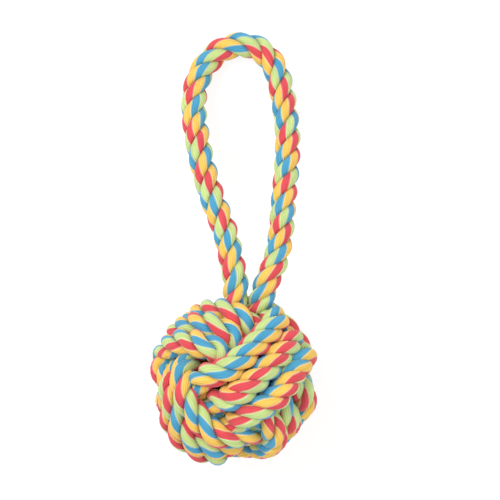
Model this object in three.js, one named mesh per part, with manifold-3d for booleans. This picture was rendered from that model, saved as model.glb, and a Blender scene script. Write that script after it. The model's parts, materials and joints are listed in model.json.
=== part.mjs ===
// Rope dog toy: a monkey's fist of thick cotton rope round a core ball, with the same rope as a handle loop.
// Millimetres, +Z up. It lies on its back: the ball and the loop's crown rest on the floor, the loop along +Y.
import * as THREE from "three";
import { mergeVertices } from "three/addons/utils/BufferGeometryUtils.js";
import Module from "manifold-3d";

const wasm = await Module();
wasm.setup();

// Driving dimensions
const ropeDiameter = 12; // the handle's rope, slack
const wrapDiameter = 10.25; // the same rope, pulled tight in the ball
const wrapGap = 0.75; // between one wrap and the next
const seatGap = 0.35; // between pieces that touch
const neckLength = 25; // of each leg, from its end in the ball to where the handle loop starts
const ballFlatDepth = 0.5; // how far the floor cuts into the ball's lowest wraps
const loopFlatDepth = ropeDiameter / 10; // and into the loop's crown
const measureStep = 1; // along the rope, where its gap to itself is measured

// Counts
const wrapsPerSet = 3;
const wrapSides = 6;
const cornerSteps = 4;
const straightSteps = 2;
const bendSteps = 6;
const ropeSides = 10;
const neckSteps = 4;
const loopSteps = 28;
const coreSides = 20;

// The fist is three sets of wraps at right angles. Each set goes over the next one and under the third.
const wrapPitch = wrapDiameter + wrapGap;
const turnRadius = wrapPitch;
const innerReach = (wrapPitch * (wrapsPerSet + 1)) / 2; // ball's centre to a wrap where another set covers it
const outerReach = innerReach + wrapPitch; // and where it shows
const outerSpan = innerReach - turnRadius; // half of a straight side that shows
const innerSpan = outerReach - turnRadius; // half of a straight side that is covered
const lastLane = (wrapPitch * (wrapsPerSet - 1)) / 2; // ball's centre to a set's outermost wrap
const bendReach = 1.5 * wrapPitch; // how far a wrap runs on as it bends into the next set
const stubSpan = innerSpan - wrapDiameter; // the rope's two ends stop here, one diameter past a corner
const coreRadius = innerReach - wrapDiameter / 2 - seatGap;

// Where three of the ball's faces look, as directions: the front one is the most in view
const frontShares = [0.457, 0.218, 0.864];
const lowerShares = [-0.62, -0.62, 0.48];
const front = new THREE.Vector3(...frontShares).normalize();
const lower = new THREE.Vector3(...lowerShares).projectOnPlane(front).normalize();
const right = front.clone().cross(lower);

// Each set's directions: along to the sides that show, across to the covered ones, lane to the next wrap.
// The next wrap is reached on the near covered side, between two places along it and with a corner in between.
const wrapSets = [
  { along: front, across: lower, lane: right, moveFrom: -outerReach, moveTo: stubSpan, halfway: stubSpan },
  { along: right, across: front, lane: lower, moveFrom: -outerReach, moveTo: outerReach, halfway: 0 },
  { along: lower, across: right, lane: front, moveFrom: -stubSpan, moveTo: outerReach, halfway: -stubSpan },
];

// The handle's route from one end in the ball to the other, hand chosen: x and y from the ball's centre,
// z from the floor
const handleRoute = [
  [-1.8, 29.4, 47.9],
  [-0.3, 36, 50],
  [0.8, 42.5, 51.6],
  [0.7, 49.5, 51.9],
  [-0.8, 56.5, 50.2],
  [-2.4, 64.5, 47.3],
  [-4.6, 72.8, 43.9],
  [-10.8, 89.3, 36.5],
  [-15.3, 104.9, 29.2],
  [-18, 118.7, 22.6],
  [-19.3, 129.7, 17.2],
  [-18.6, 140.7, 12],
  [-14.6, 150.6, 7.7],
  [-6.6, 158.6, 5.3],
  [3.4, 161.4, 4.8],
  [12.6, 158.6, 5.3],
  [19.2, 150.9, 7.7],
  [22.4, 140.7, 12],
  [24.3, 129.7, 17.2],
  [25.4, 118.7, 22.6],
  [25.2, 104.9, 29.2],
  [24.1, 89.3, 36.5],
  [22.5, 72.8, 43.9],
  [21.1, 64.5, 47.3],
  [18.9, 56.5, 50.2],
  [15.7, 49.5, 51.9],
  [13.2, 42.5, 51.6],
  [12, 36, 50],
  [10.8, 28.8, 47.8],
].map((place) => new THREE.Vector3(...place));

// The yarns are red, yellow, blue and lime all along: here each piece of the rope shows one of them
const cotton = (color) => new THREE.MeshStandardMaterial({ color, roughness: 0.95, metalness: 0 });
const redYarn = cotton(0xe4525a);
const yellowYarn = cotton(0xfbd060);
const blueYarn = cotton(0x4fa6cb);
const limeYarn = cotton(0xcde08c);
const coreRubber = new THREE.MeshStandardMaterial({ color: 0x4a4a4c, roughness: 0.8, metalness: 0 });

// Points of a straight run after its first
function straight(from, to, steps = straightSteps) {
  const start = new THREE.Vector2(...from);
  const end = new THREE.Vector2(...to);
  return Array.from({ length: steps }, (_, step) => start.clone().lerp(end, (step + 1) / steps));
}

// Points of a quarter turn after its first, round the corner on the given side along and across
function corner(sideAlong, sideAcross, fromDegrees) {
  const centre = new THREE.Vector2(sideAlong * innerSpan, sideAcross * outerSpan);
  return Array.from({ length: cornerSteps }, (_, step) => {
    const angle = THREE.MathUtils.degToRad(fromDegrees + (90 * (step + 1)) / cornerSteps);
    return new THREE.Vector2(turnRadius * Math.cos(angle), turnRadius * Math.sin(angle)).add(centre);
  });
}

// A wrap while it keeps to its lane: it shows, is covered on the far side and shows again
const laneRun = [
  new THREE.Vector2(outerReach, -outerSpan),
  ...straight([outerReach, -outerSpan], [outerReach, outerSpan]),
  ...corner(1, 1, 0),
  ...straight([innerSpan, innerReach], [-innerSpan, innerReach]),
  ...corner(-1, 1, 90),
  ...straight([-outerReach, outerSpan], [-outerReach, -outerSpan]),
];

// The rope's two ends in the ball: up to the first wrap, and on from the last
const startRun = [
  new THREE.Vector2(stubSpan, -innerReach),
  new THREE.Vector2(innerSpan, -innerReach),
  ...corner(1, -1, 270).slice(0, -1),
];
const endRun = [...corner(-1, -1, 180), new THREE.Vector2(-stubSpan, -innerReach)];

// A place given by a set's directions, as one from the ball's centre
function placeIn(set, along, across, lane) {
  return new THREE.Vector3()
    .addScaledVector(set.along, along)
    .addScaledVector(set.across, across)
    .addScaledVector(set.lane, lane);
}

function runInLane(set, run, lane) {
  return run.map((point) => placeIn(set, point.x, point.y, lane));
}

// The near covered side, where a wrap moves over to the next lane
function moveToNextLane(set, lane) {
  const run = [
    ...corner(-1, -1, 180),
    ...straight([-innerSpan, -innerReach], [set.halfway, -innerReach], 1),
    ...straight([set.halfway, -innerReach], [innerSpan, -innerReach], 1),
    ...corner(1, -1, 270).slice(0, -1),
  ];
  return run.map((point) => {
    const moved = (point.x - set.moveFrom) / (set.moveTo - set.moveFrom);
    return placeIn(set, point.x, point.y, lane + wrapPitch * THREE.MathUtils.clamp(moved, 0, 1));
  });
}

// From a set's last wrap round a corner of the ball to the next set's first, without its two ends
function bendToNextSet(set) {
  const bend = new THREE.CubicBezierCurve3(
    placeIn(set, -outerReach, -outerSpan, lastLane),
    placeIn(set, -outerReach, -outerSpan - bendReach, lastLane),
    placeIn(set, -outerSpan - bendReach, -lastLane, outerReach),
    placeIn(set, -outerSpan, -lastLane, outerReach),
  );
  return bend.getPoints(bendSteps).slice(1, -1);
}

// The whole winding in the order that it is tied, set after set and wrap after wrap
function windingRoute() {
  const route = runInLane(wrapSets[0], startRun, -lastLane);
  wrapSets.forEach((set, setIndex) => {
    for (let wrap = 0; wrap < wrapsPerSet; wrap++) {
      const lane = wrap * wrapPitch - lastLane;
      route.push(...runInLane(set, laneRun, lane));
      if (wrap < wrapsPerSet - 1) route.push(...moveToNextLane(set, lane));
    }
    if (setIndex < wrapSets.length - 1) route.push(...bendToNextSet(set));
  });
  route.push(...runInLane(wrapSets[wrapSets.length - 1], endRun, lastLane));
  return route;
}

// A closed tube with a ring of corners square to the route at each of its points, and flat ends
function tubeThrough(route, radius, sides) {
  const positions = [];
  const normal = front.clone();
  route.forEach((point, place) => {
    const before = route[Math.max(place - 1, 0)];
    const after = route[Math.min(place + 1, route.length - 1)];
    const tangent = after.clone().sub(before).normalize();
    normal.projectOnPlane(tangent).normalize();
    const binormal = tangent.clone().cross(normal);
    for (let side = 0; side < sides; side++) {
      const angle = (2 * Math.PI * side) / sides;
      const rim = normal.clone().multiplyScalar(radius * Math.cos(angle));
      rim.addScaledVector(binormal, radius * Math.sin(angle)).add(point);
      positions.push(rim.x, rim.y, rim.z);
    }
  });
  positions.push(...route[0].toArray(), ...route[route.length - 1].toArray());
  const lastRing = (route.length - 1) * sides;
  const startCentre = route.length * sides;
  const endCentre = startCentre + 1;
  const index = [];
  for (let side = 0; side < sides; side++) {
    const next = (side + 1) % sides;
    for (let ring = 0; ring < lastRing; ring += sides) {
      index.push(ring + side, ring + next, ring + sides + side);
      index.push(ring + next, ring + sides + next, ring + sides + side);
    }
    index.push(startCentre, next, side);
    index.push(endCentre, lastRing + side, lastRing + next);
  }
  const geometry = new THREE.BufferGeometry();
  geometry.setAttribute("position", new THREE.Float32BufferAttribute(positions, 3));
  geometry.setIndex(index);
  return geometry;
}

// Least distance from the winding to any later stretch of itself past a half turn, less its diameter
function leastGapToItself(route) {
  const places = [];
  let length = 0;
  for (let place = 1; place < route.length; place++) {
    const span = route[place - 1].distanceTo(route[place]);
    const steps = Math.ceil(span / measureStep);
    for (let step = 0; step < steps; step++) {
      const point = route[place - 1].clone().lerp(route[place], step / steps);
      places.push({ point, length: length + (span * step) / steps });
    }
    length += span;
  }
  const halfTurn = Math.PI * turnRadius;
  let least = Infinity;
  places.forEach((one, start) => {
    for (const other of places.slice(start + 1))
      if (other.length - one.length > halfTurn) least = Math.min(least, one.point.distanceTo(other.point));
  });
  return least - wrapDiameter;
}

// A stretch of a curve between two distances from its start
class Stretch extends THREE.Curve {
  constructor(whole, from, to) {
    super();
    Object.assign(this, { whole, from, to, length: whole.getLength() });
  }

  getPoint(share, target = new THREE.Vector3()) {
    return this.whole.getPointAt(THREE.MathUtils.lerp(this.from, this.to, share) / this.length, target);
  }
}

function ropeAlong(curve, steps) {
  const section = new THREE.Shape();
  section.absarc(0, 0, ropeDiameter / 2, 0, 2 * Math.PI);
  return new THREE.ExtrudeGeometry(section, { steps, extrudePath: curve, curveSegments: ropeSides });
}

// Solids for cutting, and back to a mesh with flat facets
function solidFrom(geometry) {
  const bare = geometry.clone().deleteAttribute("normal").deleteAttribute("uv");
  const merged = mergeVertices(bare);
  const mesh = new wasm.Mesh({
    numProp: 3,
    vertProperties: new Float32Array(merged.attributes.position.array),
    triVerts: new Uint32Array(merged.index.array),
  });
  return new wasm.Manifold(mesh);
}

function geometryFrom(solid) {
  const mesh = solid.getMesh();
  const geometry = new THREE.BufferGeometry();
  geometry.setAttribute("position", new THREE.Float32BufferAttribute(mesh.vertProperties, 3));
  geometry.setIndex(Array.from(mesh.triVerts));
  const faceted = geometry.toNonIndexed();
  faceted.computeVertexNormals();
  return faceted;
}

function largestPiece(solid) {
  return solid.decompose().reduce((best, piece) => (piece.volume() > best.volume() ? piece : best));
}

// A body with what lies below the given height cut off
function cutFlat(solid, height) {
  const box = solid.boundingBox();
  const [width, depth, drop] = [0, 1, 2].map((axis) => 2 * (box.max[axis] - box.min[axis]));
  const block = new THREE.BoxGeometry(width, depth, drop);
  block.translate((box.min[0] + box.max[0]) / 2, (box.min[1] + box.max[1]) / 2, height - drop / 2);
  return largestPiece(solid.subtract(solidFrom(block)));
}

const route = windingRoute();
console.log(`The winding's least gap to itself is ${leastGapToItself(route).toFixed(2)} mm`);

const looseWinding = solidFrom(tubeThrough(route, wrapDiameter / 2, wrapSides));
const floorHeight = looseWinding.boundingBox().min[2] + ballFlatDepth;
const ballHeight = -floorHeight;
const winding = cutFlat(looseWinding, floorHeight).translate([0, 0, ballHeight]);

const handle = new THREE.CatmullRomCurve3(handleRoute);
const handleLength = handle.getLength();
const loopCurve = new Stretch(handle, neckLength + seatGap, handleLength - neckLength - seatGap);
const loop = cutFlat(solidFrom(ropeAlong(loopCurve, loopSteps)), 0);

const windingRoom = solidFrom(tubeThrough(route, wrapDiameter / 2 + seatGap, wrapSides));
const necksRoom = windingRoom.translate([0, 0, ballHeight]);
const neckFrom = (from, to) =>
  largestPiece(solidFrom(ropeAlong(new Stretch(handle, from, to), neckSteps)).subtract(necksRoom));
const leftNeck = neckFrom(0, neckLength);
const rightNeck = neckFrom(handleLength - neckLength, handleLength);

const core = new THREE.SphereGeometry(coreRadius, coreSides, coreSides / 2).translate(0, 0, ballHeight);

const toy = new THREE.Group();

function addPiece(name, geometry, material) {
  const mesh = new THREE.Mesh(geometry, material);
  mesh.name = name;
  toy.add(mesh);
}

addPiece("core_ball", core, coreRubber);
addPiece("ball_wraps", geometryFrom(winding), redYarn);
addPiece("left_neck", geometryFrom(leftNeck), yellowYarn);
addPiece("right_neck", geometryFrom(rightNeck), limeYarn);
addPiece("handle_loop", geometryFrom(loop), blueYarn);

// The origin is on the floor, under the middle of the whole toy
const box = new THREE.Box3().setFromObject(toy);
const middle = box.getCenter(new THREE.Vector3());
toy.position.set(-middle.x, -middle.y, -box.min.z);

export default toy;
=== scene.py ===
# Rope dog toy: a ball knotted from laid cotton rope, with a handle loop of the same rope.
# Lengths are in metres where no comment says mm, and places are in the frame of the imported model.
import itertools
import json
import math
import bpy
import numpy as np
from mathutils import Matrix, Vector

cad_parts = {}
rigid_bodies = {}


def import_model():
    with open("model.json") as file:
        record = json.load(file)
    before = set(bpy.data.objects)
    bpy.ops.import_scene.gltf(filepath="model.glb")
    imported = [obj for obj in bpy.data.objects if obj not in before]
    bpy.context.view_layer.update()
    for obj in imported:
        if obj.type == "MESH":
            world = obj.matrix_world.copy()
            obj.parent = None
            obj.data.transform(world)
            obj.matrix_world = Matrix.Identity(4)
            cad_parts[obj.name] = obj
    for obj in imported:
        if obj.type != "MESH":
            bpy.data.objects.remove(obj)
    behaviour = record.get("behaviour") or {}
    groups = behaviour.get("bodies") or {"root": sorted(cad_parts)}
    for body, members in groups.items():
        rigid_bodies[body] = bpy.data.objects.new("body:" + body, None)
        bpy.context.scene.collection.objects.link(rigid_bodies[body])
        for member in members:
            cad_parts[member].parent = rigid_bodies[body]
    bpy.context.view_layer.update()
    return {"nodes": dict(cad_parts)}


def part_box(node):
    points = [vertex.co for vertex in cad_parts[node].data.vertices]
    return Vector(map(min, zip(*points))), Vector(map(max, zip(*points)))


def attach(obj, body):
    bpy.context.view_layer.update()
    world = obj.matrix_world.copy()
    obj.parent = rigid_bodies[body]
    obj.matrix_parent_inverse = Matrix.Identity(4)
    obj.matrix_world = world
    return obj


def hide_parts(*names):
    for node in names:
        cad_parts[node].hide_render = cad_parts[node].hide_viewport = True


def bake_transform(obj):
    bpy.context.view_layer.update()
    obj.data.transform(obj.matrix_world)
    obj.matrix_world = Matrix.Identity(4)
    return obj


for thing in list(bpy.data.objects):
    bpy.data.objects.remove(thing)
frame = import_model()
print("frame loaded:", sorted(frame["nodes"]))

millimetre = 0.001
fullTurn = 2 * math.pi
plainMaths = "ShaderNodeMath"
vectorMaths = "ShaderNodeVectorMath"


def colour(hexText, alpha=1.0):
    # sRGB hex to the linear values that shaders take
    shares = [int(hexText[i:i + 2], 16) / 255 for i in (1, 3, 5)]
    return tuple(v / 12.92 if v <= 0.04045 else ((v + 0.055) / 1.055) ** 2.4 for v in shares) + (alpha,)


def addNode(tree, kind, *inputs, **settings):
    # one node: its inputs, in order or by name, as values or other nodes' sockets, and its own settings
    node = tree.nodes.new(kind)
    for name, value in settings.items():
        setattr(node, name, value)
    given = inputs[0] if inputs and isinstance(inputs[0], dict) else dict(enumerate(inputs))
    for name, value in given.items():
        if isinstance(value, bpy.types.NodeSocket):
            tree.links.new(value, node.inputs[name])
        else:
            node.inputs[name].default_value = value
    return node


def middleOf(node):
    low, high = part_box(node)
    return (Vector(low) + Vector(high)) / 2


ballCentre = middleOf("core_ball")

# Camera: straight down on the toy as it lies on its back, with a long lens, framed as the photograph is
camera = {
    "pixelSize": 0.48 * millimetre,  # of the photograph, at the aim height
    "pixels": 500,
    "ballPixel": (234, 381),  # where the middle of the ball shows
    "height": 2.6,
    "aimHeight": 0.03,
    "sensor": 36.0,  # mm
    "clipStart": 0.05,
    "clipEnd": 20,
}


def placeCamera(c):
    middle = c["pixels"] / 2
    x = ballCentre.x + (middle - c["ballPixel"][0]) * c["pixelSize"]
    y = ballCentre.y - (middle - c["ballPixel"][1]) * c["pixelSize"]
    data = bpy.data.cameras.new("camera")
    data.sensor_width = c["sensor"]
    data.lens = c["sensor"] * (c["height"] - c["aimHeight"]) / (c["pixels"] * c["pixelSize"])
    data.clip_start = c["clipStart"]
    data.clip_end = c["clipEnd"]
    thing = bpy.data.objects.new("camera", data)
    thing.location = (x, y, c["height"])
    bpy.context.scene.collection.objects.link(thing)
    bpy.context.scene.camera = thing


placeCamera(camera)
print("camera placed")

# The rope: three strands laid right-handed, each of four colours of yarn side by side
strandCount = 3
yarnColours = ("yellow", "blue", "lime", "red")  # round each strand, the same share of its girth each
quarters = len(yarnColours)
rope = {
    "diameter": 12.4 * millimetre,
    "ballDiameter": 12.9 * millimetre,  # in the ball, where it is pressed a little wider
    "lay": 29 * millimetre,  # for one turn of the strands
    "strandShare": 0.25,  # a strand's radius as a share of the rope's diameter
    "offsetShare": 0.258,  # and its distance from the rope's middle
    "yarns": 16,  # round each strand
    "pointsPerYarn": 3,
    "yarnRelief": 0.1,  # how deep the grooves between yarns are, as a share of the strand's radius
    "ringSpacing": 1.2 * millimetre,
    "yarnTurns": 2.15,  # a strand's own turns in one lay, against the way that it is laid
    "stepsPerSpan": 24,  # of a smooth line, between two of the points that it goes through
}

# What the tree reads at each point of a rope's line
lineValues = {
    "layTurn": "FLOAT",
    "ropeWidth": "FLOAT",
    "yarnTurn": "FLOAT_VECTOR",  # each strand's own turn
    "outwardHere": "FLOAT_VECTOR",  # from where the lay's turn is counted
}


def distances(line):
    return np.concatenate([[0], np.cumsum(np.linalg.norm(np.diff(line, axis=0), axis=1))])


def evenly(line, spacing):
    along = distances(line)
    wanted = np.linspace(0, along[-1], max(2, int(round(along[-1] / spacing)) + 1))
    return np.stack([np.interp(wanted, along, line[:, axis]) for axis in range(3)], axis=1)


def smoothLine(points, r, easing=0):
    # a Catmull-Rom curve through the points, at even spacing, with its bends eased that many times
    p = np.array(points, float)
    ends = np.vstack([2 * p[0] - p[1], p, 2 * p[-1] - p[-2]])
    t = np.linspace(0, 1, r["stepsPerSpan"], endpoint=False)[:, None]
    spans = []
    for start in range(len(ends) - 3):
        a, b, c, d = ends[start:start + 4]
        spans.append(0.5 * (2 * b + (c - a) * t + (2 * a - 5 * b + 4 * c - d) * t ** 2
                            + (3 * b - a - 3 * c + d) * t ** 3))
    line = evenly(np.vstack(spans + [ends[-2:-1]]), r["ringSpacing"])
    for _ in range(easing):
        line[1:-1] += ((line[:-2] + line[2:]) / 2 - line[1:-1]) / 2
    return evenly(line, r["ringSpacing"]) if easing else line


def waysAlong(line):
    way = np.gradient(line, axis=0)
    return way / np.linalg.norm(way, axis=1)[:, None]


def ropeTree(r):
    # lays three strands round the line that comes in, and gives each strand its yarns
    tree = bpy.data.node_groups.new("layRope", "GeometryNodeTree")
    tree.interface.new_socket("Geometry", in_out="INPUT", socket_type="NodeSocketGeometry")
    sizes = [
        ("Strand radius", "NodeSocketFloat", r["strandShare"]),
        ("Strand offset", "NodeSocketFloat", r["offsetShare"]),
        ("Yarn relief", "NodeSocketFloat", r["yarnRelief"]),
        ("Yarns", "NodeSocketInt", r["yarns"]),
        ("Points per yarn", "NodeSocketInt", r["pointsPerYarn"]),
    ]
    for name, kind, value in sizes:
        size = tree.interface.new_socket(name, in_out="INPUT", socket_type=kind)
        size.default_value = value
    tree.interface.new_socket("Material", in_out="INPUT", socket_type="NodeSocketMaterial")
    tree.interface.new_socket("Geometry", in_out="OUTPUT", socket_type="NodeSocketGeometry")
    get = addNode(tree, "NodeGroupInput").outputs
    here = {}
    for name, kind in lineValues.items():
        node = addNode(tree, "GeometryNodeInputNamedAttribute", {"Name": name}, data_type=kind)
        here[name] = node.outputs["Attribute"]

    def squareTo(way, direction):
        # the part of a direction that is square to the way, one unit long
        share = addNode(tree, vectorMaths, direction, way, operation="DOT_PRODUCT").outputs["Value"]
        part = addNode(tree, vectorMaths, {0: way, "Scale": share}, operation="SCALE").outputs[0]
        rest = addNode(tree, vectorMaths, direction, part, operation="SUBTRACT").outputs[0]
        return addNode(tree, vectorMaths, rest, operation="NORMALIZE").outputs[0]

    # a copy of the line for each strand, and where out from the rope is for it
    line = addNode(tree, "GeometryNodeMeshToCurve", {"Mesh": get["Geometry"]}).outputs[0]
    ways = addNode(tree, "GeometryNodeCaptureAttribute", {"Geometry": line})
    ways.capture_items.new("VECTOR", "tangent")
    tree.links.new(addNode(tree, "GeometryNodeInputTangent").outputs[0], ways.inputs["tangent"])
    copies = addNode(tree, "GeometryNodeDuplicateElements",
                     {"Geometry": ways.outputs["Geometry"], "Amount": strandCount}, domain="SPLINE")
    number = copies.outputs["Duplicate Index"]
    tangent = ways.outputs["tangent"]
    normal = squareTo(tangent, here["outwardHere"])
    aside = addNode(tree, vectorMaths, tangent, normal, operation="CROSS_PRODUCT").outputs[0]
    strandStart = addNode(tree, plainMaths, number, strandCount, operation="DIVIDE").outputs[0]
    strandTurn = addNode(tree, plainMaths, here["layTurn"], strandStart, operation="ADD").outputs[0]
    angle = addNode(tree, plainMaths, strandTurn, fullTurn, operation="MULTIPLY").outputs[0]
    shareOut = addNode(tree, plainMaths, angle, operation="COSINE").outputs[0]
    shareAside = addNode(tree, plainMaths, angle, operation="SINE").outputs[0]
    partOut = addNode(tree, vectorMaths, {0: normal, "Scale": shareOut}, operation="SCALE").outputs[0]
    partAside = addNode(tree, vectorMaths, {0: aside, "Scale": shareAside}, operation="SCALE").outputs[0]
    outward = addNode(tree, vectorMaths, partOut, partAside, operation="ADD").outputs[0]
    strands = addNode(tree, "GeometryNodeCaptureAttribute", {"Geometry": copies.outputs["Geometry"]})
    strands.capture_items.new("VECTOR", "outward")
    strands.capture_items.new("INT", "strand")
    tree.links.new(outward, strands.inputs["outward"])
    tree.links.new(number, strands.inputs["strand"])
    width = here["ropeWidth"]
    offset = addNode(tree, plainMaths, width, get["Strand offset"], operation="MULTIPLY").outputs[0]
    shift = addNode(tree, vectorMaths, {0: outward, "Scale": offset}, operation="SCALE").outputs[0]
    moved = addNode(tree, "GeometryNodeSetPosition",
                    {"Geometry": strands.outputs["Geometry"], "Offset": shift})

    # each strand turns about itself, so that its yarns run nearly along the rope
    way = addNode(tree, "GeometryNodeInputTangent").outputs[0]
    level = squareTo(way, strands.outputs["outward"])
    ownTurns = addNode(tree, "ShaderNodeSeparateXYZ", here["yarnTurn"])
    pick = addNode(tree, "GeometryNodeIndexSwitch", {"Index": strands.outputs["strand"]}, data_type="FLOAT")
    while len(pick.index_switch_items) < strandCount:
        pick.index_switch_items.new()
    for strand in range(strandCount):
        tree.links.new(ownTurns.outputs[strand], pick.inputs[strand + 1])
    ownAngle = addNode(tree, plainMaths, pick.outputs[0], -fullTurn, operation="MULTIPLY").outputs[0]
    turned = addNode(tree, "ShaderNodeVectorRotate", {"Vector": level, "Axis": way, "Angle": ownAngle},
                     rotation_type="AXIS_ANGLE")
    facing = addNode(tree, "GeometryNodeSetCurveNormal",
                     {"Curve": moved.outputs[0], "Normal": turned.outputs[0]}, mode="FREE")

    # a strand's section: one shallow lobe for each yarn
    count = addNode(tree, plainMaths, get["Yarns"], get["Points per yarn"], operation="MULTIPLY").outputs[0]
    ring = addNode(tree, "GeometryNodeCurvePrimitiveCircle",
                   {"Resolution": count, "Radius": 1.0}, mode="RADIUS")
    spot = addNode(tree, "GeometryNodeInputPosition").outputs[0]
    apart = addNode(tree, "ShaderNodeSeparateXYZ", spot).outputs
    around = addNode(tree, plainMaths, apart["Y"], apart["X"], operation="ARCTAN2").outputs[0]
    lobes = addNode(tree, plainMaths, around, get["Yarns"], operation="MULTIPLY").outputs[0]
    halfLobes = addNode(tree, plainMaths, lobes, 0.5, operation="MULTIPLY").outputs[0]
    wave = addNode(tree, plainMaths, halfLobes, operation="SINE").outputs[0]
    height = addNode(tree, plainMaths, wave, operation="ABSOLUTE").outputs[0]
    depth = addNode(tree, plainMaths, 1.0, height, operation="SUBTRACT").outputs[0]
    cut = addNode(tree, plainMaths, get["Yarn relief"], depth, operation="MULTIPLY").outputs[0]
    reach = addNode(tree, plainMaths, 1.0, cut, operation="SUBTRACT").outputs[0]
    lobed = addNode(tree, vectorMaths, {0: spot, "Scale": reach}, operation="SCALE").outputs[0]
    spots = addNode(tree, "GeometryNodeCaptureAttribute", {"Geometry": ring.outputs[0]})
    spots.capture_items.new("VECTOR", "spot")
    tree.links.new(spot, spots.inputs["spot"])
    section = addNode(tree, "GeometryNodeSetPosition",
                      {"Geometry": spots.outputs["Geometry"], "Position": lobed})
    radius = addNode(tree, plainMaths, width, get["Strand radius"], operation="MULTIPLY").outputs[0]
    mesh = addNode(tree, "GeometryNodeCurveToMesh", {
        "Curve": facing.outputs[0], "Profile Curve": section.outputs[0], "Fill Caps": True, "Scale": radius})

    # what the cotton reads: the place on the strand's section, and how far a face looks out of the rope,
    # which sets the painted shade in the creases
    placed = addNode(tree, "GeometryNodeStoreNamedAttribute",
                     {"Geometry": mesh.outputs[0], "Name": "yarnPlace", "Value": spots.outputs["spot"]},
                     data_type="FLOAT_VECTOR", domain="POINT")
    faceWay = addNode(tree, "GeometryNodeInputNormal").outputs[0]
    openness = addNode(tree, vectorMaths, faceWay, strands.outputs["outward"], operation="DOT_PRODUCT")
    opened = addNode(tree, "GeometryNodeStoreNamedAttribute",
                     {"Geometry": placed.outputs[0], "Name": "openness", "Value": openness.outputs["Value"]},
                     data_type="FLOAT", domain="POINT")
    real = addNode(tree, "GeometryNodeRealizeInstances", opened.outputs[0])
    dressed = addNode(tree, "GeometryNodeSetMaterial", {0: real.outputs[0], "Material": get["Material"]})
    addNode(tree, "NodeGroupOutput", dressed.outputs[0])
    return tree


layRope = ropeTree(rope)
print("rope tree made")

# Dyed cotton yarn, soft-spun: matte, with no highlights, a faint bloom at its edges and fine fibres along it,
# and painted shade in its grooves and creases
cotton = {
    "yellow": "#FACC60",
    "blue": "#50A5CC",
    "lime": "#CBE090",
    "red": "#E5525A",
    "fringe": "#F7F0D6",  # undyed fibres that show where two colours meet
    "fringeShare": 0.4,  # how much of them shows at the border itself
    "fringeWidth": 0.035,  # as a share of the strand's girth
    "strayWidth": 0.03,  # how far fibres stray over the border between two colours, as a share of the girth
    "fibreLength": 3.0 * millimetre,
    "fibreWidth": 0.12 * millimetre,  # real ones are about 0.02 mm and wouldn't show
    "fibreDetail": 2.0,
    "fibreRoughness": 0.6,
    "fibreTone": 0.45,  # how much lighter or darker than its yarn a fibre is
    "fibreHeight": 0.15 * millimetre,
    "fibreBump": 0.6,
    "yarnTone": 0.35,  # and a yarn than the others
    "yarnToneLength": 9 * millimetre,  # over which a yarn's tone changes
    "yarnToneStep": 7.31,  # in the noise from one yarn to the next, so that neighbours differ
    "paintedGrooveShade": 0.84,  # painted shade in the grooves between yarns
    "grooveEdge": 0.6,  # of a yarn's height, where the painted shade ends
    "paintedCreaseShade": 0.5,  # painted shade in the creases between strands, where faces look into the rope
    "creaseStart": -0.35,  # how far a face looks out of the rope where the painted shade is deepest
    "creaseEnd": 0.45,  # and where it ends
    "roughness": 0.92,
    "specular": 0.15,
    "sheen": 0.25,
    "sheenRoughness": 0.5,
}


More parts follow.
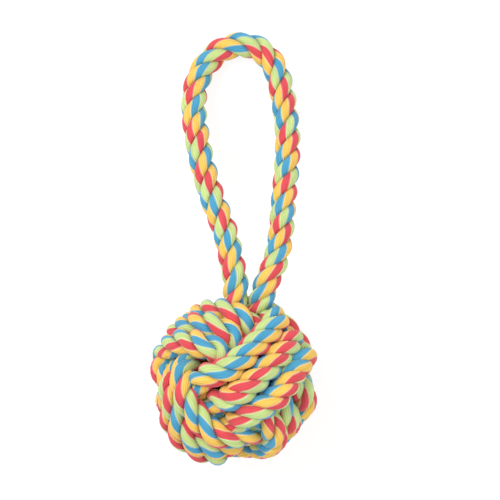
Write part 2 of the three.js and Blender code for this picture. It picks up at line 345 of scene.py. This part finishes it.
def cottonMaterial(c, r):
    made = bpy.data.materials.new("dyed cotton yarn")
    made.use_nodes = True
    tree = made.node_tree
    tree.nodes.clear()

    # where on the strand this is: round its section in turns, and along it
    place = addNode(tree, "ShaderNodeAttribute", attribute_name="yarnPlace").outputs["Vector"]
    along = addNode(tree, "ShaderNodeAttribute", attribute_name="along").outputs["Fac"]
    apart = addNode(tree, "ShaderNodeSeparateXYZ", place).outputs
    angle = addNode(tree, plainMaths, apart["Y"], apart["X"], operation="ARCTAN2").outputs[0]
    halfTurns = addNode(tree, plainMaths, angle, fullTurn, operation="DIVIDE").outputs[0]
    positive = addNode(tree, plainMaths, halfTurns, 1.0, operation="ADD").outputs[0]
    turn = addNode(tree, plainMaths, positive, operation="FRACT").outputs[0]

    # fibres: a noise stretched along the strand
    girth = fullTurn * r["strandShare"] * r["diameter"]
    girthPlace = addNode(tree, plainMaths, turn, girth, operation="MULTIPLY").outputs[0]
    fibreX = addNode(tree, plainMaths, girthPlace, c["fibreWidth"], operation="DIVIDE").outputs[0]
    fibreY = addNode(tree, plainMaths, along, c["fibreLength"], operation="DIVIDE").outputs[0]
    fibreSpot = addNode(tree, "ShaderNodeCombineXYZ", fibreX, fibreY).outputs[0]
    fibres = addNode(tree, "ShaderNodeTexNoise", {
        "Vector": fibreSpot, "Scale": 1.0, "Detail": c["fibreDetail"], "Roughness": c["fibreRoughness"],
    }, noise_dimensions="2D").outputs["Fac"]
    fibreSwing = addNode(tree, plainMaths, fibres, 0.5, operation="SUBTRACT").outputs[0]

    # each yarn's own tone, which changes slowly along it
    yarnPlace = addNode(tree, plainMaths, turn, r["yarns"], operation="MULTIPLY").outputs[0]
    yarn = addNode(tree, plainMaths, yarnPlace, operation="FLOOR").outputs[0]
    yarnX = addNode(tree, plainMaths, yarn, c["yarnToneStep"], operation="MULTIPLY").outputs[0]
    yarnY = addNode(tree, plainMaths, along, c["yarnToneLength"], operation="DIVIDE").outputs[0]
    yarnSpot = addNode(tree, "ShaderNodeCombineXYZ", yarnX, yarnY).outputs[0]
    yarnNoise = addNode(tree, "ShaderNodeTexNoise", {"Vector": yarnSpot, "Scale": 1.0, "Detail": 1.0},
                        noise_dimensions="2D").outputs["Fac"]
    yarnSwing = addNode(tree, plainMaths, yarnNoise, 0.5, operation="SUBTRACT").outputs[0]

    # yarns of one colour lie side by side, a quarter of the strand each; a few stray over the border
    stray = addNode(tree, plainMaths, fibreSwing, c["strayWidth"], operation="MULTIPLY").outputs[0]
    strayed = addNode(tree, plainMaths, turn, stray, operation="ADD").outputs[0]
    strayedOn = addNode(tree, plainMaths, strayed, 1.0, operation="ADD").outputs[0]
    dyeTurn = addNode(tree, plainMaths, strayedOn, operation="FRACT").outputs[0]
    ramp = addNode(tree, "ShaderNodeValToRGB", dyeTurn)
    band = ramp.color_ramp
    band.interpolation = "CONSTANT"
    while len(band.elements) < quarters:
        band.elements.new(0.5)
    for i, name in enumerate(yarnColours):
        band.elements[i].position = i / quarters
        band.elements[i].color = colour(c[name])

    # undyed fibres show along each border
    quarterPlace = addNode(tree, plainMaths, strayed, quarters, operation="MULTIPLY").outputs[0]
    fromStart = addNode(tree, plainMaths, quarterPlace, operation="FRACT").outputs[0]
    toEnd = addNode(tree, plainMaths, 1.0, fromStart, operation="SUBTRACT").outputs[0]
    nearest = addNode(tree, plainMaths, fromStart, toEnd, operation="MINIMUM").outputs[0]
    fromBorder = addNode(tree, plainMaths, nearest, quarters, operation="DIVIDE").outputs[0]
    pale = addNode(tree, "ShaderNodeMapRange", {
        "Value": fromBorder, "From Min": 0.0, "From Max": c["fringeWidth"],
        "To Min": c["fringeShare"], "To Max": 0.0,
    }, interpolation_type="SMOOTHSTEP").outputs[0]
    dyed = addNode(tree, "ShaderNodeMix", {
        "Factor": pale, "A": ramp.outputs["Color"], "B": colour(c["fringe"]),
    }, data_type="RGBA").outputs["Result"]

    # painted shade in the grooves between yarns, tones, and painted shade in the creases between strands
    lobes = addNode(tree, plainMaths, turn, math.pi * r["yarns"], operation="MULTIPLY").outputs[0]
    wave = addNode(tree, plainMaths, lobes, operation="SINE").outputs[0]
    height = addNode(tree, plainMaths, wave, operation="ABSOLUTE").outputs[0]
    # painted shade: the cotton is darker in the grooves between yarns
    paintedGroove = addNode(tree, "ShaderNodeMapRange", {
        "Value": height, "From Min": 0.0, "From Max": c["grooveEdge"],
        "To Min": c["paintedGrooveShade"], "To Max": 1.0,
    }, interpolation_type="SMOOTHSTEP").outputs[0]
    yarnTone = addNode(tree, plainMaths, yarnSwing, c["yarnTone"], operation="MULTIPLY").outputs[0]
    fibreTone = addNode(tree, plainMaths, fibreSwing, c["fibreTone"], operation="MULTIPLY").outputs[0]
    tone = addNode(tree, plainMaths, yarnTone, fibreTone, operation="ADD").outputs[0]
    toneShade = addNode(tree, plainMaths, tone, 1.0, operation="ADD").outputs[0]
    shade = addNode(tree, plainMaths, toneShade, paintedGroove, operation="MULTIPLY").outputs[0]
    lit = addNode(tree, "ShaderNodeHueSaturation",
                  {"Hue": 0.5, "Saturation": 1.0, "Fac": 1.0, "Value": shade, "Color": dyed}).outputs[0]
    openness = addNode(tree, "ShaderNodeAttribute", attribute_name="openness").outputs["Fac"]
    # painted shade: the cotton is darker in the creases between strands, where faces look into the rope
    paintedCrease = addNode(tree, "ShaderNodeMapRange", {
        "Value": openness, "From Min": c["creaseStart"], "From Max": c["creaseEnd"],
        "To Min": c["paintedCreaseShade"], "To Max": 1.0,
    }, interpolation_type="SMOOTHSTEP").outputs[0]
    paintedCreaseColour = addNode(tree, "ShaderNodeMix", {"Factor": 1.0, "A": lit, "B": paintedCrease},
                      data_type="RGBA", blend_type="MULTIPLY").outputs["Result"]

    bump = addNode(tree, "ShaderNodeBump",
                   {"Strength": c["fibreBump"], "Distance": c["fibreHeight"], "Height": fibres}).outputs[0]
    cloth = addNode(tree, "ShaderNodeBsdfPrincipled", {
        "Base Color": paintedCreaseColour, "Roughness": c["roughness"], "Specular IOR Level": c["specular"],
        "Sheen Weight": c["sheen"], "Sheen Roughness": c["sheenRoughness"], "Normal": bump})
    addNode(tree, "ShaderNodeOutputMaterial", {"Surface": cloth.outputs[0]})
    return made


yarnCotton = cottonMaterial(cotton, rope)
print("cotton made")


def keyedTurns(line, stretches, r):
    # how the rope lies: each bulge that shows is given by how far along it is, which yarn shows there (0 to
    # 4, in quarters from the start of the yellow ones), and how far round the rope it is seen from, in turns
    # from straight outward; where rope is hidden, bulges follow by its usual lay
    along = distances(line)
    bulgeStep = r["lay"] / strandCount
    usualGain = quarters * r["yarnTurns"]
    number = 0
    laid = []  # how far along, and how many bulges have passed there
    strands = [[] for _ in range(strandCount)]  # each one's own bulges: how far along, the yarn, the number
    for stretch in stretches:
        for step, (at, facing, above) in enumerate(stretch):
            if step:
                number += 1
            elif laid:
                lastAt, lastLay = laid[-1]
                soonest = math.floor(lastLay - strandCount * above) + 1
                usual = round(lastLay + (at - lastAt) / bulgeStep - strandCount * above)
                number = max(soonest, usual)
            laid.append((at, number + strandCount * above))
            strand = strands[-number % strandCount]
            if strand:
                _, lastFacing, lastNumber = strand[-1]
                expected = lastFacing + usualGain * (number - lastNumber) / strandCount
                facing += quarters * round((expected - facing) / quarters)
            strand.append((at, facing, number))

    def spread(keys, gain):
        # even turning from key to key, and the usual gain before the first and after the last
        before = keys[0][1] - gain * keys[0][0] / bulgeStep
        after = keys[-1][1] + gain * (along[-1] - keys[-1][0]) / bulgeStep
        ats = [0.0] + [key[0] for key in keys] + [float(along[-1])]
        return np.interp(along, ats, [before] + [key[1] for key in keys] + [after])

    layTurn = spread(laid, 1.0) / strandCount
    yarnTurn = np.stack([spread(strand, usualGain / strandCount) for strand in strands], axis=1) / quarters
    return layTurn, yarnTurn


def turnsToAbove(line, outward):
    # round the rope from straight outward to the side that is seen from above
    way = waysAlong(line)
    normal = outward - way * (outward * way).sum(axis=1)[:, None]
    normal /= np.linalg.norm(normal, axis=1)[:, None]
    aside = np.cross(way, normal)
    return np.unwrap(np.arctan2(aside[:, 2], normal[:, 2])) / fullTurn


def layStrands(name, line, outward, diameter, turns, material):
    # a line of points becomes a rope of three strands
    along = distances(line)
    layTurn, yarnTurn = turns
    carried = {
        "along": along,  # for the cotton
        "layTurn": layTurn,
        "ropeWidth": np.full(len(line), diameter),
        "yarnTurn": yarnTurn,
        "outwardHere": outward,
    }
    plain = bpy.data.meshes.new(name + "Line")
    plain.from_pydata([tuple(p) for p in line], [(i, i + 1) for i in range(len(line) - 1)], [])
    for label, values in carried.items():
        kind = "FLOAT" if values.ndim == 1 else "FLOAT_VECTOR"
        attribute = plain.attributes.new(label, kind, "POINT")
        field = "value" if kind == "FLOAT" else "vector"
        attribute.data.foreach_set(field, np.asarray(values, np.float32).ravel())
    holder = bpy.data.objects.new(name + "Line", plain)
    bpy.context.scene.collection.objects.link(holder)
    modifier = holder.modifiers.new("rope", "NODES")
    modifier.node_group = layRope
    for socket in layRope.interface.items_tree:
        if socket.name == "Material":
            modifier[socket.identifier] = material
    bpy.context.view_layer.update()
    seen = bpy.context.evaluated_depsgraph_get()
    made = bpy.data.meshes.new_from_object(holder.evaluated_get(seen), depsgraph=seen)
    bpy.data.objects.remove(holder)
    made.name = name
    for label in lineValues:
        if label in made.attributes:
            made.attributes.remove(made.attributes[label])
    piece = bpy.data.objects.new(name, made)
    bpy.context.scene.collection.objects.link(piece)
    print(name, len(made.polygons), "faces,", round(float(along[-1]) / millimetre), "mm of rope")
    return piece


# The ball: three sets of three wraps at right angles, each set over the next one and under the third
ball = {
    "pitch": 11.5 * millimetre,  # from one wrap to the next
    "wraps": 3,  # in a set
    "outerReach": 3,  # in pitches from the ball's middle to a side of a wrap that shows
    "innerReach": 2,  # and to one that another set covers
    "turnRadius": 1,  # in pitches too, as are the next two
    "stubReach": 1.1,  # where the rope's two ends stop
    "bendReach": 1.5,  # how far a wrap runs on as it bends into the next set
    "cornerSteps": 4,
    "bendSteps": 6,
    "easing": 12,  # how many times the winding's bends are eased
    "roundShare": 0.6,  # how much of what stands out at the ball's corners is pulled in
    "front": (0.457, 0.218, 0.864),  # where three of its faces look
    "lower": (-0.62, -0.62, 0.48),
    "cornerPull": 1.1 * millimetre,  # how far the ropes round each of the eight corners close up on it
    "cornerReach": 0.32,  # in radians from the corner, where they close up most
    "presses": [  # where the real ball is out of round: place, shift and reach in mm from the ball's middle
        ((-40, 9, 2), (2.2, 0, 0), 12),
        ((-40, -9, 2), (4.4, 0.5, 0), 13),
        ((-33, -1, 7), (4.5, 0, 0), 7),
        ((-26, 0, 26), (1.2, 0, 0), 6),
        ((-33, -26, 0), (-1.4, -1.4, 0), 11),
        ((2, -33, 8), (0, 2.8, 0), 12),
        ((8, -32, -9), (0, 3.2, 0), 9),
        ((33, -23, 0), (-3, 2.4, 0), 12),
        ((34, 4, -6), (-4, 0, 0), 8),
        ((32, 9, 13), (1, 3.4, 0), 9),
        ((20, -5, 29), (1.6, -1.6, 0), 10),
        ((27, -14, 18), (-3, 0.5, 0), 6.5),
        ((19, 28, 18), (3.2, 2.8, 1), 11),
        ((-13, 2.5, 28), (-1, 1, 0), 7),
        ((2, -30, 20), (0, 3.8, 0), 10),
        ((5, -18, 31), (-0.5, 1.5, 0), 8),
        ((-20, -24, 16), (-1.6, -1.6, 0), 9),
        ((-6, -12, 27), (0, 2.2, 0), 7),
        ((-10, 10, 29), (2, 3.4, 0), 6.5),
        ((-2, 19, 23), (1, 1.9, 0), 6),
        ((-8, 3, 35), (-0.9, 1.2, 0), 6.5),
        ((-14, 5, 31), (-1.8, 1.4, 0), 6),
        ((-10.5, -7, 31), (-1.8, 1.8, 0), 6),
    ],
}


def fistSets(b):
    # each set's directions: along its wraps' outer sides, across to the covered ones, and to the next lane
    front = Vector(b["front"]).normalized()
    lower = Vector(b["lower"])
    lower = (lower - front * lower.dot(front)).normalized()
    right = front.cross(lower)
    return [(front, lower, right), (right, front, lower), (lower, right, front)]


def fistLine(b):
    # the winding's line in the order that it is tied, and where the middle of each side comes in it
    outer, inner, radius, stub = b["outerReach"], b["innerReach"], b["turnRadius"], b["stubReach"]
    innerSpan = outer - radius
    outerSpan = inner - radius
    lastLane = (b["wraps"] - 1) / 2
    points = []
    middles = {}

    def put(directions, along, across, lane):
        p = (directions[0] * along + directions[1] * across + directions[2] * lane) * b["pitch"]
        proud = max(0.0, p.length - outer * b["pitch"])
        points.append(p * (1 - b["roundShare"] * proud / p.length) + ballCentre)

    def corner(sideAlong, sideAcross, start, steps=b["cornerSteps"]):
        # a quarter turn after its first point
        for step in range(1, steps + 1):
            angle = math.radians(start + 90 / b["cornerSteps"] * step)
            yield (innerSpan * sideAlong + radius * math.cos(angle),
                   outerSpan * sideAcross + radius * math.sin(angle))

    def upFromBelow():
        return [(innerSpan, -inner), *corner(1, -1, 270, b["cornerSteps"] - 1)]

    laneRun = [
        (outer, -outerSpan), (outer, 0), (outer, outerSpan), *corner(1, 1, 0), (0, inner),
        (-innerSpan, inner), *corner(-1, 1, 90), (-outer, 0), (-outer, -outerSpan),
    ]
    middleNames = {(outer, 0): "+", (-outer, 0): "-", (0, inner): "under"}
    # for each set, where a wrap starts and ends its move to the next lane, and a place between
    moves = [(-outer, stub, stub), (-outer, outer, 0), (-stub, outer, -stub)]
    sets = fistSets(b)
    for along, across in [(stub, -inner), *upFromBelow()]:
        put(sets[0], along, across, -lastLane)
    for number, (directions, (moveFrom, moveTo, halfway)) in enumerate(zip(sets, moves)):
        for wrap in range(b["wraps"]):
            lane = wrap - lastLane
            for along, across in laneRun:
                if (along, across) in middleNames:
                    middles[(number, wrap, middleNames[(along, across)])] = len(points)
                put(directions, along, across, lane)
            if wrap < b["wraps"] - 1:
                for along, across in [*corner(-1, -1, 180), (halfway, -inner), *upFromBelow()]:
                    moved = (along - moveFrom) / (moveTo - moveFrom)
                    put(directions, along, across, lane + min(1.0, max(0.0, moved)))
        if number < len(sets) - 1:
            ends = [(-outer, -outerSpan, lastLane), (-outer, -outerSpan - b["bendReach"], lastLane),
                    (-outerSpan - b["bendReach"], -lastLane, outer), (-outerSpan, -lastLane, outer)]
            for step in range(1, b["bendSteps"]):
                t = step / b["bendSteps"]
                weights = [(1 - t) ** 3, 3 * t * (1 - t) ** 2, 3 * t * t * (1 - t), t ** 3]
                put(directions, *[sum(w * end[axis] for w, end in zip(weights, ends)) for axis in range(3)])
    for along, across in [*corner(-1, -1, 180), (-stub, -inner)]:
        put(sets[-1], along, across, lastLane)
    return points, middles


def settled(line, b):
    # the round lattice drawn tight: closed up at its corners and pressed out of round
    tiny = 1e-6  # never divide by zero
    middle = np.array(ballCentre)
    p = np.array(line, float) - middle
    front, lower, right = [np.array(direction) for direction in fistSets(b)[0]]
    far = np.linalg.norm(p, axis=1)[:, None]
    shift = np.zeros_like(p)
    for signs in itertools.product((1, -1), repeat=3):
        corner = (signs[0] * front + signs[1] * lower + signs[2] * right) / math.sqrt(3)
        near = (p / far) @ corner
        aside = corner - near[:, None] * p / far
        aside /= np.maximum(np.linalg.norm(aside, axis=1), tiny)[:, None]
        away = np.arccos(np.clip(near, -1, 1)) / b["cornerReach"]
        pull = b["cornerPull"] * away * np.exp(0.5 - 0.5 * away ** 2)
        shift += aside * pull[:, None]
    p += shift
    for place, move, reach in b["presses"]:
        away = np.linalg.norm(p - np.array(place) * millimetre, axis=1) / (reach * millimetre)
        p += np.exp(-away ** 2)[:, None] * np.array(move) * millimetre
    return p + middle


def nearestOn(line, point):
    return int(np.argmin(np.linalg.norm(line - np.array(point), axis=1)))


fistPoints, fistMiddles = fistLine(ball)
fistRope = evenly(settled(smoothLine(fistPoints, rope, ball["easing"]), ball), rope["ringSpacing"])
fistPoints = settled(fistPoints, ball)
middleAt = {side: nearestOn(fistRope, fistPoints[index]) for side, index in fistMiddles.items()}
print("ball's line:", len(fistRope), "points,", round(float(distances(fistRope)[-1]) / millimetre), "mm")

# The bulges that show on the ball's rope, which is made in three pieces. A side is named by its set, its wrap
# and its end. Each bulge has its place in mm from the side's middle, and the yarn that shows. Those "shown"
# are seen from above, and those of the "rim" are at the ball's outline and face straight out of it
firstBulges = {
    "shown": {
        (0, 0, "+"): [(-17.5, 1.5), (-8.4, 1.4), (1.2, 1.1), (10.8, 1.6), (19.5, 1.8), (27, 0.6)],
        (0, 1, "+"): [(-20.5, 3.4), (-12.5, 3.6), (-3.6, 3.95), (6, 3.3), (14.4, 3.4), (21.5, 3.35),
                      (28.5, 2.8)],
        (0, 2, "+"): [(-19, 1.2), (-12, 1.2), (-4.8, 4.0), (3, 0.4), (11.5, 0.5), (19.2, 3.1), (26, 3.4)],
    },
    "rim": {
        (0, 0, "-"): [(-32, 3.5), (-23, 3.8)],
        (0, 1, "-"): [(-27, 3.5)],
    },
}
secondBulges = {
    "shown": {
        (1, 0, "+"): [(31, 2.6), (22.5, 3.5), (13.5, 1.4)],
        (1, 0, "-"): [(-1.5, 1.9), (-12, 4.0), (-21, 3.4), (-29.5, 1.8)],
        (1, 1, "+"): [(33, 1.8), (25, 2.5), (16.5, 3.8)],
        (1, 1, "-"): [(5.5, 4.4), (-5, 2.4), (-15.5, 1.3), (-25.2, 3.2), (-34, 1.9)],
        (1, 2, "+"): [(28.5, 3.6), (18.5, 1.0), (9, 1.3), (0, 2.2)],
        (1, 2, "-"): [(25.5, 1.5), (17, 1.0), (7, 4.1), (-3.6, 3.4), (-14.5, 3.2), (-24, 1.9), (-32.5, 2.4)],
        (2, 0, "+"): [(16.8, 3.3), (6, 1.2), (-4.5, 1.0), (-13.2, 1.0), (-21.6, 1.5)],
    },
    "rim": {},
}
thirdBulges = {
    "shown": {
        (2, 1, "+"): [(11, 2.4), (0, 3.1), (-10, 2.3), (-19.2, 0.4), (-27.5, 0.2)],
        (2, 2, "+"): [(31.2, 2.2), (22, 1.1), (13.2, 3.4), (2.4, 1.5), (-8.8, 1.95), (-19.2, 0.2),
                      (-28.5, 2.0)],
    },
    "rim": {
        (2, 2, "-"): [(3, 2.6), (-6.5, 2.8), (-16, 2.2)],
    },
}


def wrapsPiece(name, first, last, bulges, backward=False):
    # one piece of the ball's rope, from one place on its line to another, or from there back
    line = fistRope[first:last + 1]
    if backward:
        line = line[::-1]
    along = distances(line)
    outward = line - np.array(ballCentre)
    above = turnsToAbove(line, outward)
    mmOn = -millimetre if backward else millimetre
    stretches = []
    for view, sides in bulges.items():
        for side, marks in sides.items():
            index = middleAt[side] - first
            middle = along[len(line) - 1 - index if backward else index]
            stretch = []
            for mm, yarn in marks:
                at = middle + mmOn * mm
                stretch.append((at, yarn, float(np.interp(at, along, above)) if view == "shown" else 0.0))
            stretches.append(stretch)
    stretches.sort(key=lambda stretch: stretch[0][0])
    turns = keyedTurns(line, stretches, rope)
    piece = layStrands(name, line, outward, rope["ballDiameter"], turns, yarnCotton)
    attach(piece, "ball")
    return piece


# The second and the third piece are laid from their far ends, as their colours run in the photograph
firstEnd = middleAt[(0, 2, "under")]
secondEnd = middleAt[(2, 0, "under")]
firstWraps = wrapsPiece("firstWraps", 0, firstEnd, firstBulges)
secondWraps = wrapsPiece("secondWraps", firstEnd, secondEnd, secondBulges, backward=True)
thirdWraps = wrapsPiece("thirdWraps", secondEnd, len(fistRope) - 1, thirdBulges, backward=True)
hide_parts("ball_wraps")

# The handle, from its left end in the ball to its right one
handle = {
    "route": [  # in mm: x and y from the ball's middle, z from the floor
        (-1.8, 29.4, 47.9), (-0.3, 36, 50), (0.8, 42.5, 51.6), (0.7, 49.5, 51.9), (-0.8, 56.5, 50.2),
        (-2.4, 64.5, 47.3), (-4.6, 72.8, 43.9), (-10.8, 89.3, 36.5), (-15.3, 104.9, 29.2), (-18, 118.7, 22.6),
        (-19.3, 129.7, 17.2), (-18.6, 141, 12), (-14.6, 151, 7.9), (-6.6, 159.4, 6.3), (3.6, 162.3, 6.3),
        (13, 159.6, 6.3), (19.7, 151.3, 7.9), (22.8, 141, 12), (24.7, 129.7, 17.2), (25.8, 118.7, 22.6),
        (25.5, 104.9, 29.2), (24.1, 89.3, 36.5), (22.7, 72.8, 43.9), (21.5, 64.5, 47.3), (19.5, 56.5, 50.2),
        (16.5, 49.5, 51.9), (14, 42.5, 51.6), (12.4, 36, 50), (10.8, 28.8, 47.8),
    ],
    "bulges": [  # up the left leg, round the crown and down the right leg: mm along it, and the yarn
        (12.5, 0.2), (20.4, 1.8), (29, 0.35), (38.5, 1.5), (48.2, 3.25), (58.7, 1.7), (69.4, 3.35),
        (80.2, 0.4), (91, 3.1), (101.7, 0.3), (111.6, 1.3), (121.3, 0.1), (132.5, 1.65), (142.8, 2.55),
        (153.2, 1), (163.2, 3), (172.8, 3.6), (183.2, 2), (193.8, 3.95), (204, 0.5), (214.2, 2.85),
        (224, 0.4), (233.8, 1.33), (243.3, 3.5), (252.8, 1), (261.8, 2.6), (272, 0.4), (281.2, 1.95),
        (289, 4), (297.2, 1), (304.6, 2.8),
    ],
    "bendReach": 12 * millimetre,  # either side of the hinge
    "pathStep": 4,  # every how many of the line's points
}

handlePoints = []
for x, y, z in handle["route"]:
    handlePoints.append((ballCentre.x + x * millimetre, ballCentre.y + y * millimetre, z * millimetre))
handleLine = smoothLine(handlePoints, rope)
handleWay = waysAlong(handleLine)
handleUp = np.array([0, 0, 1.0]) - handleWay * handleWay[:, 2:3]
handleBulges = [(mm * millimetre, yarn, 0.0) for mm, yarn in handle["bulges"]]
handleTurns = keyedTurns(handleLine, [handleBulges], rope)
handleRope = layStrands("handleRope", handleLine, handleUp, rope["diameter"], handleTurns, yarnCotton)
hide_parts("left_neck", "right_neck", "handle_loop")
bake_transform(handleRope)
print("ropes laid")

# Moulded rubber: dark and dull. It is the core, hidden but for glimpses between the wraps, and its warm dark
# brown is partly painted shade, like that of the rope deep between the wraps
rubberAndPaintedShade = {
    # partly painted shade: a warm dark brown, like the shaded rope deep between the wraps
    "colour": "#4A3E3B",
    "roughness": 0.75,
}


def rubberMaterial(c):
    made = bpy.data.materials.new("moulded rubber")
    made.use_nodes = True
    shader = made.node_tree.nodes["Principled BSDF"]
    shader.inputs["Base Color"].default_value = colour(c["colour"])
    shader.inputs["Roughness"].default_value = c["roughness"]
    return made


core = frame["nodes"]["core_ball"]
core.data.materials.clear()
core.data.materials.append(rubberMaterial(rubberAndPaintedShade))
print("core dressed")

# Studio: white paper under the toy, soft light from all round and two large soft lamps
studio = {
    "lamps": [  # each one's name, place and size in metres, and power in watts
        ("key", (-0.7, 0.5, 1.3), 0.9, 13.4),
        ("fill", (0.9, -0.3, 1.1), 1.0, 4.6),
    ],
    "allRound": 0.66,  # as a light on the toy; the camera sees plain white
    "floorSize": 8,
    "paper": "#FFFFFF",
    "paperRoughness": 0.9,
    "paperGlow": 1.1,  # how bright the plain white is
    "paperShare": 0.72,  # how much of the floor is plain white to the camera; the rest takes the toy's shadow
}


def paperMaterial(s):
    # matte white paper, whose far parts are as white as the background
    made = bpy.data.materials.new("white paper")
    made.use_nodes = True
    tree = made.node_tree
    shader = tree.nodes["Principled BSDF"]
    shader.inputs["Base Color"].default_value = colour(s["paper"])
    shader.inputs["Roughness"].default_value = s["paperRoughness"]
    direct = addNode(tree, "ShaderNodeLightPath").outputs["Is Camera Ray"]
    share = addNode(tree, plainMaths, direct, s["paperShare"], operation="MULTIPLY").outputs[0]
    glow = addNode(tree, "ShaderNodeEmission", {"Color": (1, 1, 1, 1), "Strength": s["paperGlow"]}).outputs[0]
    mixed = addNode(tree, "ShaderNodeMixShader", share, shader.outputs[0], glow)
    tree.links.new(mixed.outputs[0], tree.nodes["Material Output"].inputs["Surface"])
    return made


def studioWorld(s):
    # plain white to the camera, and dimmer as a light on the toy
    world = bpy.data.worlds.new("studio")
    world.use_nodes = True
    tree = world.node_tree
    sky = tree.nodes["Background"]
    sky.inputs["Color"].default_value = (1, 1, 1, 1)
    direct = addNode(tree, "ShaderNodeLightPath").outputs["Is Camera Ray"]
    level = addNode(tree, "ShaderNodeMapRange", {"Value": direct, "To Min": s["allRound"], "To Max": 1.0})
    tree.links.new(level.outputs[0], sky.inputs["Strength"])
    return world


def studioRoom(s):
    bpy.ops.mesh.primitive_plane_add(size=s["floorSize"], location=(0, 0, 0))
    floor = bpy.context.object
    floor.name = "floor"
    floor.data.materials.append(paperMaterial(s))
    bpy.context.scene.world = studioWorld(s)
    for name, place, size, watts in s["lamps"]:
        lamp = bpy.data.lights.new(name, "AREA")
        lamp.size = size
        lamp.energy = watts
        thing = bpy.data.objects.new(name, lamp)
        thing.location = place
        thing.rotation_euler = (-Vector(place)).to_track_quat("-Z", "Y").to_euler()
        bpy.context.scene.collection.objects.link(thing)


studioRoom(studio)
bpy.context.scene.view_settings.view_transform = "Standard"
print("studio made")
